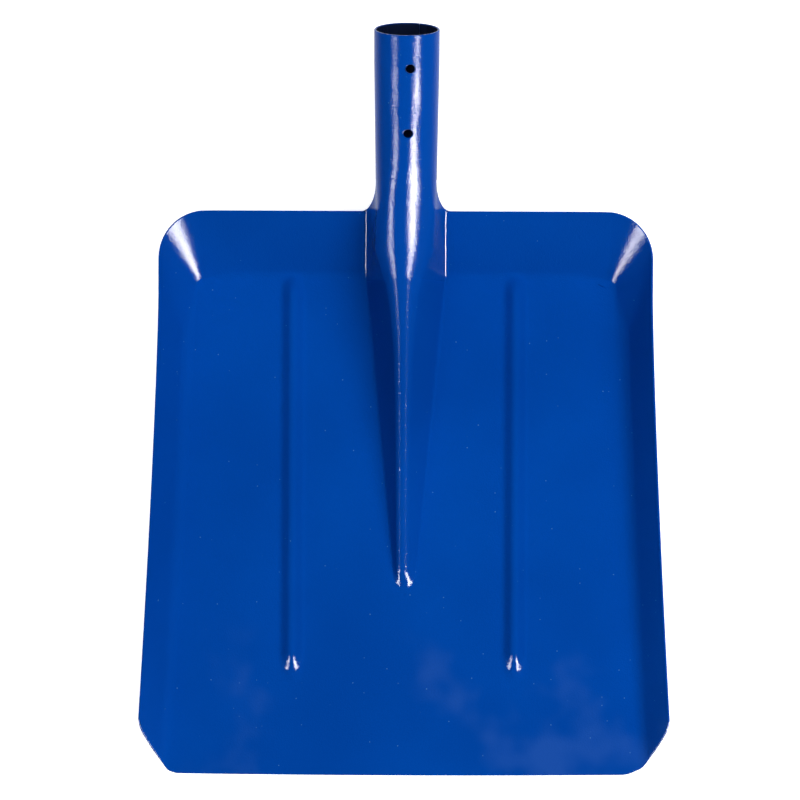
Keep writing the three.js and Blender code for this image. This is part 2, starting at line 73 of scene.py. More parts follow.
CHAMFER_BELLY = 3.6  # the cut bellies out between these half widths
CHAMFER_BELLY_FROM, CHAMFER_BELLY_TO = 156.0, 183.0
SOCKET_TILT = math.radians(21)
SOCKET_LENGTH = 119.2
SOCKET_AXIS_Z = 46.46
BORE_NECK = 18.4
BORE_MOUTH = 19.6
TAPER_LENGTH = 97.0
SCREW_HOLE = 5.5
SCREW_HOLES = ((21.4, 2.1), (63.4, 1.4))  # from the mouth, and aside
SEAM_ANGLE = math.radians(24)
SEAM_GAP = 0.3
SEAM_START_Y = 176.0
FLARE_END_Y = 150.0
FLARE_LENGTH = 19.0
FLARE_WIDTH = 11.5
PLANE_TURN_END_Y = 172.0
FROG_KINK_Y = 103.0
# stations along the frog's crest, and its slope there in degrees
CREST_SLOPES = ((106, 21.0), (99, 17.5), (50, 14.2), (0, 13.0), (-60, 11.0), (-109, 10.3))
CREST_SAMPLES = 400
NOSE_Y = -109.0
NOSE_LENGTH = 16.5
JOINT_X = 27.0  # the joint beside the neck

# ---- finer shape of the visible surface
CREASE_BACK = 25.6  # half width of the frog at its foot, from the rim to the back fold
FOOT_NOSE = 7.4  # the same at the nose
CREST_RADIUS = 4.6
CREST_FADE = 32.0
# stations, and how far aside the crest lies there
CREST_SHIFTS = ((45, -1.7), (80, -2.4), (112, -3.0), (134, -2.9), (158, -0.9), (190, -0.5), (215, 0.0))
CREASE_BEND = 3.0  # tight bend beside the neck
FOOT_BEND = 6.5  # softer bend along the frog on the floor
FOOT_BEND_NOSE = 3.0  # and at its nose
SOFTENS_WITHIN = 0.22  # share of the frog's length over which the bend softens
SETTLES_WITHIN = 30.0  # length in front of the joint in which the level strip grows to it
LEVEL_STRIP, LEAST_STRIP = 1.0, 0.4
HOLLOW_LEAST = 0.01  # every flank is hollowed by this angle at least
FLANK_LEAST = 0.02  # and this steep at its foot
BEND_MOST = 0.9  # share of a flank that its bend may take
RIM_FLANK = math.radians(56)  # slope of the neck's side where it leaves the crease, at the rim
RIB_X = 75.5
RIB_SHIFT = -0.8
RIB_HEIGHT = 5.2
RIB_SLOPE = math.radians(42)
RIB_CREST_RADIUS = 3.0
RIB_FOOT_RADIUS = 7.5
RIB_END_Y = -165.0
RIB_NOSE_LENGTH = 25.0
RIB_FADE = (-14.0, 3.0)  # the ribs run out in the back fold, between these distances from it
# stations, and how far the tube's crown stands out there
TUBE_BULGE = ((92, 0.0), (116, -0.4), (138, -0.3), (158, 0.45), (181, 0.6), (205, -0.2), (250, -0.3))
EDGE_ROUND = 0.55  # how far the rounding of a cut edge reaches in from it

WALL_STEPS = 10
BEND_STEPS = 14
RINGS = WALL_STEPS + BEND_STEPS  # ring 0 is the rim, the last one is the edge of the floor
ARC_POINTS, FLANK_POINTS, BEND_POINTS, LEVEL_POINTS = 21, 8, 8, 3
CORNER_RETURN_Y = 40.0  # the grid is bent round the back corners beyond these
CORNER_RETURN_X = 98.0
CHAMFER_RETURN_Y = -200.0  # and along the front edge in front of this
MARGIN_X = 128.0  # the floor's last columns follow its edge from here on
MARGIN_PARTS = (0.2, 0.4, 0.56, 0.66, 0.74, 0.81, 0.87, 0.93)
MARGIN_SQUEEZE = 0.8  # how much they give way to the back corner
MARGIN_SQUEEZED = (-20.0, 60.0)  # and the stations between which they do
GAP_PARTS = (0.012, 0.03, 0.055, 0.085, 0.16, 0.28, 0.42, 0.58, 0.74, 0.88)
PLACING_ROUNDS = 6


# ---- small helpers
def lerp(a, b, part):
    return a + (b - a) * part


def clamp01(value):
    return min(1.0, max(0.0, value))


def smoothstep(value, low=0.0, high=1.0):
    part = np.clip((value - low) / (high - low), 0.0, 1.0)
    return part * part * (3 - 2 * part)


def unit(rows):
    return rows / (np.linalg.norm(rows, axis=1, keepdims=True) + 1e-12)


def stations(*legs):
    """Stations along +Y from (end, step) legs, starting at the first leg's end."""
    found = [legs[0][0]]
    for end, step in legs[1:]:
        count = max(1, round(abs(end - found[-1]) / step))
        found += list(np.linspace(found[-1], end, count + 1)[1:])
    return found


# ---- walls
def rim_half(y):
    grown = max(0.0, RIM_GROWTH_FROM - y) / RIM_GROWTH_LENGTH
    return RIM_HALF_BACK + RIM_HALF_GROWTH * grown ** RIM_GROWTH_POWER


def rim_height(y):
    return lerp(RIM_HEIGHT_FRONT, RIM_HEIGHT_BACK, (y - CHAMFER_RIM_Y) / (RIM_BACK_Y - CHAMFER_RIM_Y))


def wall_point(ring, run, height, radius=FOLD_RADIUS):
    """Offset out from the fold line, and height, of one ring on a wall of a given run and height."""
    slope = math.atan2(height, run)
    tangent = radius * math.tan(slope / 2)

    def bend(angle):
        return radius * math.sin(angle) - tangent, radius * (1 - math.cos(angle))

    if ring >= WALL_STEPS:
        return bend(slope * (RINGS - ring) / BEND_STEPS)
    top = bend(slope)
    part = ring / WALL_STEPS
    return lerp(run, top[0], part), lerp(height, top[1], part)


BACK_RUN = RIM_BACK_Y - FOLD_BACK_Y
BACK_SLOPE = math.atan2(RIM_HEIGHT_BACK, BACK_RUN)


def side_wall(ring, y):
    return wall_point(ring, SIDE_RUN, rim_height(y))


def back_wall(ring):
    return wall_point(ring, BACK_RUN, RIM_HEIGHT_BACK)


def back_ring_y(ring):
    return FOLD_BACK_Y + back_wall(ring)[0]


JOINT_Y = back_ring_y(RINGS)  # the joint crosses the frog where the back wall starts to rise


def fold_half(y):
    return rim_half(y) - SIDE_RUN


def back_wall_height(y):
    tangent = FOLD_RADIUS * math.tan(BACK_SLOPE / 2)
    out = y - FOLD_BACK_Y
    if out <= -tangent:
        return 0.0
    if out >= tangent * math.cos(BACK_SLOPE):
        return out * math.tan(BACK_SLOPE)
    return FOLD_RADIUS - math.sqrt(FOLD_RADIUS ** 2 - (out + tangent) ** 2)


# ---- neck, frog and socket: one family of upright sections
STRETCH = 1 / math.cos(SOCKET_TILT)  # an upright cut through the tilted tube is taller


def socket_travel(y):
    return (y - RIM_BACK_Y) / math.cos(SOCKET_TILT)


def socket_axis_z(y):
    return SOCKET_AXIS_Z + (y - RIM_BACK_Y) * math.tan(SOCKET_TILT)


def bore_radius(y):
    return lerp(BORE_NECK, BORE_MOUTH, clamp01(socket_travel(y) / TAPER_LENGTH))


def flare_edge(y):
    """Half width of the flare's cut edge over a station behind the rim."""
    part = clamp01((FLARE_END_Y - y) / FLARE_LENGTH)
    return BORE_NECK + FLARE_WIDTH * (1 - math.sqrt(1 - part ** 2))


def flare_station(x):
    """The station at which the flare's cut edge is x from the middle."""
    part = clamp01(1 - (x - BORE_NECK) / FLARE_WIDTH)
    return FLARE_END_Y - FLARE_LENGTH * math.sqrt(1 - part ** 2)


CREASE_END_Y = flare_station(JOINT_X)


def crest_drop():
    """Stations in front of the socket and how far the crest has dropped there."""
    places = np.linspace(CREST_SLOPES[0][0], CREST_SLOPES[-1][0], CREST_SAMPLES)
    marks, slopes = np.array(CREST_SLOPES[::-1]).T
    slope = np.tan(np.radians(np.interp(places, marks, slopes)))
    middle = (slope[1:] + slope[:-1]) / 2
    return places, np.concatenate([[0], np.cumsum(middle * -np.diff(places))])


CREST_PLACES, CREST_DROPS = crest_drop()


def frog_shape(y):
    """Radius over the crest, and height of the crest."""
    socket_end = CREST_SLOPES[0][0]
    if y >= socket_end:
        radius = bore_radius(y)
        return radius, socket_axis_z(y) + radius * STRETCH
    top = socket_axis_z(socket_end) + BORE_NECK * STRETCH
    radius = BORE_NECK
    if y < FROG_KINK_Y:
        radius = lerp(BORE_NECK, CREST_RADIUS, 1 - math.exp(-(FROG_KINK_Y - y) / CREST_FADE))
    return radius, top - np.interp(-y, -CREST_PLACES, CREST_DROPS)


def tube_bulge(y, angle):
    """The tube isn't quite round: how far its crown stands out or is flattened."""
    places, sizes = zip(*TUBE_BULGE)
    k = int(np.clip(np.searchsorted(places, y) - 1, 0, len(places) - 2))
    size = lerp(sizes[k], sizes[k + 1], smoothstep(y, places[k], places[k + 1]))
    crown = np.clip(np.abs(angle), 0, math.pi / 4)
    return size * np.cos(2 * crown) ** 2


def half_section(y):
    """Right half of the upright section over a station: an arc over the crest, a hollow flank,
    a tight bend and a level strip, as ARC + FLANK + BEND + LEVEL points of x and z."""
    radius, crest = frog_shape(y)
    centre = crest / STRETCH - radius
    if y <= JOINT_Y:
        part = (JOINT_Y - y) / (JOINT_Y - NOSE_Y)
        foot = np.array([lerp(CREASE_BACK, FOOT_NOSE, part), 0.0 - centre])
        relief = 0.0
        bend = lerp(CREASE_BEND, FOOT_BEND, smoothstep(part, 0.0, SOFTENS_WITHIN))
        bend = min(bend, lerp(FOOT_BEND, FOOT_BEND_NOSE, part))
    else:
        x = min(CREASE_BACK, flare_edge(y))
        beside = (x - BORE_NECK) / (CREASE_BACK - BORE_NECK)
        level = back_wall_height(min(y, CREASE_END_Y))
        if y > CREASE_END_Y:
            below = socket_axis_z(CREASE_END_Y) - back_wall_height(CREASE_END_Y)
            level = socket_axis_z(y) - below * beside
        foot = np.array([x, level / STRETCH - centre])
        relief = smoothstep(y, JOINT_Y, CREASE_END_Y)
        bend = CREASE_BEND
    distance = np.hypot(*foot)
    steepest = math.atan2(foot[0], foot[1]) - math.acos(min(1.0, radius / distance))
    straight = at_foot = steepest - HOLLOW_LEAST
    if relief > 0:
        at_rim = RIM_FLANK
        if y > CREASE_END_Y:
            at_rim = steepest * (1 - (1 - RIM_FLANK / steepest_at_crease_end()) * math.sqrt(max(beside, 0)))
        at_foot = lerp(straight, at_rim, relief)
    at_foot = max(FLANK_LEAST, at_foot)
    normal = np.array([math.sin(at_foot), math.cos(at_foot)])
    room = max(1e-6, radius - foot @ normal)
    hollow = max(0.0, (distance ** 2 - radius ** 2)) / (2 * room)
    hollow_centre = foot + hollow * normal
    touch = math.atan2(hollow_centre[0], hollow_centre[1])

    angles = np.linspace(0, touch, ARC_POINTS)
    arc_radius = radius + tube_bulge(y, angles)
    arc = np.stack([arc_radius * np.sin(angles), arc_radius * np.cos(angles)], 1)
    reach = bend * math.tan(at_foot / 2)  # from the sharp foot to either end of the bend
    length = hollow * max(1e-6, touch - at_foot)
    stop = at_foot + (touch - at_foot) * min(BEND_MOST, reach / max(length, 1e-6))
    angles = np.linspace(touch, stop, FLANK_POINTS + 1)[1:]
    flank = hollow_centre - hollow * np.stack([np.sin(angles), np.cos(angles)], 1)
    start, end = flank[-1], foot + np.array([reach, 0.0])
    t = np.linspace(0, 1, BEND_POINTS + 1)[1:, None]
    rounding = (1 - t) ** 2 * start + 2 * t * (1 - t) * foot + t ** 2 * end
    settled = smoothstep(y, JOINT_Y - SETTLES_WITHIN, JOINT_Y)
    last = lerp(end[0] + LEVEL_STRIP, max(end[0] + LEAST_STRIP, JOINT_X), settled)
    strip = np.linspace(end[0], last, LEVEL_POINTS + 1)[1:]
    strip = np.stack([strip, np.full(len(strip), foot[1])], 1)
    section = np.concatenate([arc, flank, rounding, strip])
    section[:, 1] = (section[:, 1] + centre) * STRETCH
    return section


def steepest_at_crease_end():
    radius, crest = frog_shape(CREASE_END_Y)
    centre = crest / STRETCH - radius
    foot = (CREASE_BACK, back_wall_height(CREASE_END_Y) / STRETCH - centre)
    return math.atan2(*foot) - math.acos(radius / math.hypot(*foot))


def lengths_along(points):
    return np.concatenate([[0], np.cumsum(np.linalg.norm(np.diff(points, axis=0), axis=1))])


def respaced(points, fractions):
    """Points at the given fractions of a line's length."""
    travel = lengths_along(points)
    wanted = np.asarray(fractions) * travel[-1]
    return np.stack([np.interp(wanted, travel, places) for places in points.T], 1)


def cut_section(section, end):
    """A section without what lies beyond x = end."""
    if section[-1, 0] <= end:
        return section
    k = int(np.argmax(section[:, 0] > end))
    a, b = section[k - 1], section[k]
    last = a + (b - a) * (end - a[0]) / (b[0] - a[0])
    return np.concatenate([section[:k], [last]])


CREASE_SECTION = half_section(CREASE_END_Y)
TUBE_FRACTIONS = lengths_along(CREASE_SECTION) / lengths_along(CREASE_SECTION)[-1]
NOSE_SECTION = half_section(NOSE_Y)
FROG_COLUMNS = len(TUBE_FRACTIONS)


def crest_shift(y, height, crest):
    """How far a point at this height leans aside with the ridge, which was struck off the middle."""
    return np.interp(y, *zip(*CREST_SHIFTS)) * np.clip(height / max(crest, 1e-6), 0, 1) ** 2


def nose_height(x, y):
    """The ridge runs out in a rounded nose: its last section, lowered and narrowed."""
    run = (NOSE_Y - y) / NOSE_LENGTH
    if run >= 1:
        return 0.0
    start_slope = -math.tan(math.radians(CREST_SLOPES[-1][1])) * NOSE_LENGTH / NOSE_SECTION[0, 1]
    lowered = 2 * run ** 3 - 3 * run ** 2 + 1 + start_slope * (run ** 3 - 2 * run ** 2 + run)
    narrowed = math.sqrt(1 - run ** 2)
    inside = np.interp(abs(x) / narrowed, NOSE_SECTION[:, 0], NOSE_SECTION[:, 1])
    return lowered * inside


# ---- ribs
def ridge_profile(distance):
    """Height of a rib at a distance from its spine: crest arc, straight flank, foot arc."""
    rise = RIB_HEIGHT - (RIB_CREST_RADIUS + RIB_FOOT_RADIUS) * (1 - math.cos(RIB_SLOPE))
    crest_end = RIB_CREST_RADIUS * math.sin(RIB_SLOPE)
    foot_start = crest_end + rise / math.tan(RIB_SLOPE)
    if distance <= crest_end:
        return RIB_HEIGHT - RIB_CREST_RADIUS + math.sqrt(RIB_CREST_RADIUS ** 2 - distance ** 2)
    if distance <= foot_start:
        top = RIB_HEIGHT - RIB_CREST_RADIUS * (1 - math.cos(RIB_SLOPE))
        return top - (distance - crest_end) * math.tan(RIB_SLOPE)
    left = RIB_HALF_WIDTH - distance
    if left <= 0:
        return 0.0
    return RIB_FOOT_RADIUS - math.sqrt(RIB_FOOT_RADIUS ** 2 - left ** 2)


RIB_HALF_WIDTH = ((RIB_CREST_RADIUS + RIB_FOOT_RADIUS) * math.sin(RIB_SLOPE)
                  + (RIB_HEIGHT - (RIB_CREST_RADIUS + RIB_FOOT_RADIUS) * (1 - math.cos(RIB_SLOPE)))
                  / math.tan(RIB_SLOPE))


def rib_height(x, y):
    spine = math.copysign(RIB_X, x) + RIB_SHIFT
    along = max(0.0, RIB_END_Y - y) * RIB_HALF_WIDTH / RIB_NOSE_LENGTH
    fade = 1 - smoothstep(y - FOLD_BACK_Y, *RIB_FADE)
    return ridge_profile(math.hypot(x - spine, along)) * fade


# ---- blade
CHAMFER_RISE = (CHAMFER_RIM_Y - FRONT_Y) / (rim_half(CHAMFER_RIM_Y) - CHAMFER_FRONT_X)
CHAMFER_ANGLE = math.atan(CHAMFER_RISE)
FRONT_CORNER = CHAMFER_FRONT_X + FRONT_BOW / CHAMFER_RISE
FRONT_CORNER_Y = FRONT_Y + FRONT_BOW
SIDE_TANGENT = CHAMFER_SIDE_RADIUS * math.tan((math.pi / 2 - CHAMFER_ANGLE) / 2)
SIDE_CORNER = rim_half(CHAMFER_RIM_Y + SIDE_TANGENT)


def front_edge(x, side):
    """Station of the front edge: a bowed front, an arc, the cut corner and an arc into the side."""
    part = clamp01((x - CHAMFER_BELLY_FROM) / (CHAMFER_BELLY_TO - CHAMFER_BELLY_FROM))
    belly = CHAMFER_BELLY * (4 * part * (1 - part)) ** 2
    radius = CHAMFER_FRONT_RADII[side]
    tangent = radius * math.tan(CHAMFER_ANGLE / 2)
    if x < FRONT_CORNER - tangent:
        return FRONT_Y + FRONT_BOW * (x / (FRONT_CORNER - tangent)) ** 2
    if x < FRONT_CORNER + tangent * math.cos(CHAMFER_ANGLE):
        off = x - FRONT_CORNER + tangent
        return FRONT_CORNER_Y + radius - math.sqrt(radius ** 2 - off ** 2) - belly
    if x < SIDE_CORNER - SIDE_TANGENT * math.cos(CHAMFER_ANGLE):
        return FRONT_CORNER_Y + CHAMFER_RISE * (x - FRONT_CORNER) - belly
    off = min(x, SIDE_CORNER) - SIDE_CORNER + CHAMFER_SIDE_RADIUS
    corner_y = FRONT_CORNER_Y + CHAMFER_RISE * (SIDE_CORNER - FRONT_CORNER)
    return corner_y + SIDE_TANGENT - math.sqrt(CHAMFER_SIDE_RADIUS ** 2 - off ** 2) - belly


def corner_radius(height):
    """Plan radius of the back corners at a height on the back wall."""
    return lerp(CORNER_RADIUS_FLOOR, CORNER_RADIUS_RIM, max(0.0, height / RIM_HEIGHT_BACK) ** CORNER_OPENING)


def ring_radius(ring):
    return corner_radius(back_wall(ring)[1])


def rounded_leg(fraction, leg, radius):
    """A place from the middle of a corner arc to the end of one leg: the distances back from the
    sharp corner along the leg and off it, how far round the arc it is, and how far it is from
    the middle of the arc."""
    half_arc = radius * math.pi / 4
    travel = fraction * (half_arc + leg - radius)
    if travel >= half_arc:
        return radius + travel - half_arc, 0.0, 0.0, travel
    angle = math.pi / 4 - travel / radius
    return radius - radius * math.sin(angle), radius - radius * math.cos(angle), angle, travel


def corner_height(ring, y, turn):
    return lerp(side_wall(ring, y)[1], back_wall(ring)[1], smoothstep(turn))


RIB_COLUMNS = 22
RIB_SPAN = RIB_HALF_WIDTH + 1.5


def half_columns():
    """Columns of one half from the middle out, as (kind, value)."""
    columns = [("frog", k) for k in range(FROG_COLUMNS)]
    columns += [("gap", part) for part in GAP_PARTS]
    columns += [("rib", lerp(-1, 1, k / RIB_COLUMNS)) for k in range(RIB_COLUMNS + 1)]
    columns += [("fixed", x) for x in np.linspace(RIB_X + RIB_SPAN, CORNER_RETURN_X, 5)[1:]]
    columns += [("fixed", x) for x in np.linspace(CORNER_RETURN_X, MARGIN_X, 9)[1:]]
    columns += [("margin", part) for part in MARGIN_PARTS]
    columns += [("ring", ring) for ring in range(RINGS, -1, -1)]
    return columns


FLOOR_STATIONS = stations((FRONT_Y, 0), (CHAMFER_RETURN_Y, 2.5), (-193, 2.3), (-158, 1.2), (-138, 2.5),
                          (NOSE_Y + 6, 1.1), (-60, 2.8), (20, 3.4), (60, 2.2), (JOINT_Y, 1.5))


def nominal(column, y, side):
    """Place of a column on an uncut, square-cornered pan, and its height there."""
    kind, value = column
    if kind == "ring":
        out, up = side_wall(value, y)
        return fold_half(y) + out, up
    if kind == "frog":
        section = section_at(y)
        x, z = section[value]
        if y < NOSE_Y:
            z = nose_height(x, y)
        return x, z
    if kind == "fixed":
        x = value
    elif kind == "margin":
        kept = 1 - MARGIN_SQUEEZE * smoothstep(y, *MARGIN_SQUEEZED)
        x = lerp(MARGIN_X, fold_half(y) + side_wall(RINGS, y)[0], value * kept)
    elif kind == "rib":
        x = RIB_X + side * RIB_SHIFT + value * RIB_SPAN
    else:
        x = lerp(section_at(y)[-1, 0], RIB_X + side * RIB_SHIFT - RIB_SPAN, value)
    return x, back_wall_height(y) + rib_height(side * x, y)


SECTION_STORE = {}


def section_at(y):
    key = round(max(y, NOSE_Y), 6)
    if key not in SECTION_STORE:
        SECTION_STORE[key] = half_section(key)
    return SECTION_STORE[key]


def place_on_floor(column, y, side):
    x, z = nominal(column, y, side)
    if y < CHAMFER_RETURN_Y:
        for _ in range(PLACING_ROUNDS):
            x = nominal(column, front_edge(x, side), side)[0]
        y = lerp(front_edge(x, side), CHAMFER_RETURN_Y, (y - FRONT_Y) / (CHAMFER_RETURN_Y - FRONT_Y))
        x, z = nominal(column, y, side)
    if column[0] == "frog":
        x += side * crest_shift(y, z, frog_shape(max(y, NOSE_Y))[1])
    return x, y, z


def sharpened(ring, run, height):
    """How far a ring moves out and up where the fold is tight and its foot stays in place."""
    foot = wall_point(RINGS, run, height)[0]
    fold = foot + CORNER_FOLD_RADIUS * math.tan(math.atan2(height, run - foot) / 2)
    out, up = wall_point(ring, run - fold, height, CORNER_FOLD_RADIUS)
    loose = wall_point(ring, run, height)
    return out + fold - loose[0], up - loose[1]


def tighten_corner(ring, point, turn, travel):
    """The back corners are pressed tighter at their foot than the straight folds beside them."""
    share = 1 - smoothstep(travel, CORNER_TIGHT_TO, CORNER_LOOSE_FROM)
    x, y, z = point
    beside, behind = sharpened(ring, SIDE_RUN, rim_height(y)), sharpened(ring, BACK_RUN, RIM_HEIGHT_BACK)
    out, up = (share * lerp(a, b, turn) for a, b in zip(beside, behind))
    wider = corner_radius(back_wall(ring)[1] + share * behind[1]) - ring_radius(ring)
    angle = turn * math.pi / 2
    x += out * math.cos(angle) - wider * (1 - math.cos(angle))
    y += out * math.sin(angle) - wider * (1 - math.sin(angle))
    return x, y, z + up


def place_on_side(column, y, side):
    ring = column[1]
    top, radius = back_ring_y(ring), ring_radius(ring)
    if y <= CORNER_RETURN_Y:
        return place_on_floor(column, y, side)
    leg = top - CORNER_RETURN_Y
    along, off, angle, travel = rounded_leg((top - y) / leg, leg, radius)
    y = top - along
    turn = angle / (math.pi / 2)
    point = nominal(column, y, side)[0] - off, y, corner_height(ring, y, turn)
    return tighten_corner(ring, point, turn, travel)


def place_on_back(column, ring, side):
    y = back_ring_y(ring)
    x, z = nominal(column, y, side)
    if x <= CORNER_RETURN_X and column[0] != "ring":
        if x < flare_edge(RIM_BACK_Y):
            climbed = (y - JOINT_Y) / (RIM_BACK_Y - JOINT_Y)
            y += (flare_station(x) - RIM_BACK_Y) * climbed ** 3
            z = back_wall_height(y)
        return x, y, z
    edge = fold_half(y) + side_wall(ring, y)[0]
    leg = edge - CORNER_RETURN_X
    along, off, angle, travel = rounded_leg((edge - x) / leg, leg, ring_radius(ring))
    turn = 1 - angle / (math.pi / 2)
    point = edge - along, y - off, corner_height(ring, y - off, turn)
    return tighten_corner(ring, point, turn, travel)


# ---- socket
TUBE_STEP = 1.3


def station_at(travel):
    """The station of a point on the socket's axis, from its travel along the axis."""
    return RIM_BACK_Y + travel * math.cos(SOCKET_TILT)


def bore_point(travel, angle, extra=0.0):
    """A point of the socket's bore: a travel along the axis, and an angle round from the crest."""
    y = station_at(travel)
    plane = SOCKET_TILT * smoothstep(y, FLARE_END_Y, PLANE_TURN_END_Y)
    radius = bore_radius(y) + extra + tube_bulge(y, angle)
    up = radius * np.cos(angle) / math.cos(SOCKET_TILT - plane)
    aside = radius * np.sin(angle) + crest_shift(y, np.cos(angle), 1.0)
    return np.stack([aside, y - up * math.sin(plane), socket_axis_z(y) + up * math.cos(plane)], -1)


def tube_angles(travel):
    """Angles of the tube's columns, from the rolled sheet's left edge to its right edge."""
    y = station_at(travel)
    closed = smoothstep(y, FLARE_END_Y, SEAM_START_Y)
    gap = SEAM_GAP / bore_radius(y) / 2
    right = lerp(math.pi / 2, math.pi - gap - SEAM_ANGLE, closed)
    left = lerp(math.pi / 2, math.pi - gap + SEAM_ANGLE, closed)
    return np.concatenate([-left * TUBE_FRACTIONS[:0:-1], right * TUBE_FRACTIONS])


def skirt_row(y):
    section = half_section(y)
    if y > CREASE_END_Y:
        section = respaced(cut_section(section, flare_edge(y)), TUBE_FRACTIONS)
    crest = section[0, 1]
    side = socket_axis_z(y) * smoothstep(y, JOINT_Y, RIM_BACK_Y)
    right = [(x + crest_shift(y, z - side, crest - side), y, z) for x, z in section]
    left = [(-x + crest_shift(y, z - side, crest - side), y, z) for x, z in section[:0:-1]]
    return left + right


def tube_row(travel):
    return [tuple(point) for point in bore_point(travel, tube_angles(travel))]


class Sheet:
    """One sheet-metal surface: points, quads, and which piece each quad belongs to."""

    def __init__(self):
        self.points, self.quads, self.owners = [], [], []

    def add(self, point):
        self.points.append(point)
        return len(self.points) - 1

    def fill(self, ids, owner, keep=lambda row, column: True):
        for row in range(len(ids) - 1):
            for column in range(len(ids[0]) - 1):
                if keep(row, column):
                    self.quads.append((ids[row][column], ids[row][column + 1],
                                       ids[row + 1][column + 1], ids[row + 1][column]))
                    self.owners.append(owner)


def blade_rows(sheet):
    """Adds the blade's points and returns their numbers, row by row, None inside the neck."""
    columns = half_columns()
    last_frog = FROG_COLUMNS - 1
    rows = []

    def row_ids(place, skip):
        halves = {}
        for side in (-1, 1):
            halves[side] = []
            for number, column in enumerate(columns):
                if number < skip or (side < 0 and number == 0):
                    halves[side].append(None)
                    continue
                x, y, z = place(column, side)
                halves[side].append(sheet.add((side * x, y, z)))
        return halves[-1][:0:-1] + halves[1]

    for y in FLOOR_STATIONS:
        def place(column, side, y=y):
            if column[0] == "ring":
                return place_on_side(column, y, side)
            return place_on_floor(column, y, side)
        rows.append(row_ids(place, 0))
    for ring in range(RINGS - 1, -1, -1):
        def place(column, side, ring=ring):
            if column[0] == "ring" and ring >= column[1]:
                return place_on_side(column, back_ring_y(ring), side)
            return place_on_back(column, ring, side)
        rows.append(row_ids(place, last_frog))
    return rows, len(columns)


def build_sheet():
    sheet = Sheet()
    rows, half = blade_rows(sheet)
    middle, last_frog = half - 1, FROG_COLUMNS - 1
    joint_row = len(FLOOR_STATIONS) - 1

    def in_blade(row, column):
        beyond = middle - column if column < middle else column + 1 - middle
        return row < joint_row or beyond > last_frog
    sheet.fill(rows, "blade", in_blade)

    columns = range(middle - last_frog, middle + last_frog + 1)
    neck = [[rows[joint_row][column] for column in columns]]
    for number in range(joint_row + 1, len(rows)):
        left, right = rows[number][columns[0]], rows[number][columns[-1]]
        points = skirt_row(sheet.points[right][1])
        neck.append([left] + [sheet.add(point) for point in points[1:-1]] + [right])
    for y in stations((CREASE_END_Y, 0), (132, 0.4), (137, 0.9), (FLARE_END_Y, TUBE_STEP))[1:-1]:
        neck.append([sheet.add(point) for point in skirt_row(y)])
    first_tube = len(neck)
    travels = stations((socket_travel(FLARE_END_Y), 0), (socket_travel(SEAM_START_Y), TUBE_STEP),
                       (SOCKET_LENGTH, TUBE_STEP))
    for travel in travels:
        neck.append([sheet.add(point) for point in tube_row(travel)])
    holes = [hole_block(travels, SOCKET_LENGTH - down, aside) for down, aside in SCREW_HOLES]

    def in_tube(row, column):
        return not any(top + first_tube <= row < bottom + first_tube and left <= column < right
                       for top, bottom, left, right, *_ in holes)
    sheet.fill(neck, "socket", in_tube)
    for hole in holes:
        add_hole(sheet, neck, first_tube, travels, hole)
    return sheet


HOLE_BLOCK = 5.2  # half side of the patch of grid that is respaced round a screw hole
HOLE_RINGS = 6


def hole_block(travels, travel, aside):
    """Rows and columns of the tube's grid that make room for a screw hole."""
    angle = math.asin(aside / bore_radius(station_at(travel)))
    spread = HOLE_BLOCK / BORE_NECK
    rows = [k for k, t in enumerate(travels) if abs(t - travel) <= HOLE_BLOCK]
    columns = [k for k, a in enumerate(tube_angles(travel)) if abs(a - angle) <= spread]
    return rows[0], rows[-1], columns[0], columns[-1], travel, angle


def add_hole(sheet, neck, first_tube, travels, hole):
    """Fills the block with rings of quads that turn from its square outline into the round hole."""
    top, bottom, left, right, travel, angle = hole
    outline = ([(top, c) for c in range(left, right)] + [(r, right) for r in range(top, bottom)]
               + [(bottom, c) for c in range(right, left, -1)]
               + [(r, left) for r in range(bottom, top, -1)])
    angles, radius = tube_angles(travel), bore_radius(station_at(travel))
    rings = [[neck[first_tube + r][c] for r, c in outline]]
    for ring in range(1, HOLE_RINGS + 1):
        part = ring / HOLE_RINGS
        ids = []
        for r, c in outline:
            along, aside = travels[r] - travel, (angles[c] - angle) * radius
            turn = math.atan2(aside, along)
            along = lerp(along, SCREW_HOLE / 2 * math.cos(turn), part)
            aside = lerp(aside, SCREW_HOLE / 2 * math.sin(turn), part)
            point = bore_point(travel + along, angle + aside / radius)
            ids.append(sheet.add(tuple(point)))
        rings.append(ids)
    count = len(outline)
    for outer, inner in zip(rings, rings[1:]):
        for k in range(count):
            n = (k + 1) % count
            sheet.quads.append((outer[k], outer[n], inner[n], inner[k]))
            sheet.owners.append("socket")


# ---- thick pieces from the surface
ROUND_LEVELS = 7
MITRE_LIMIT = 0.6


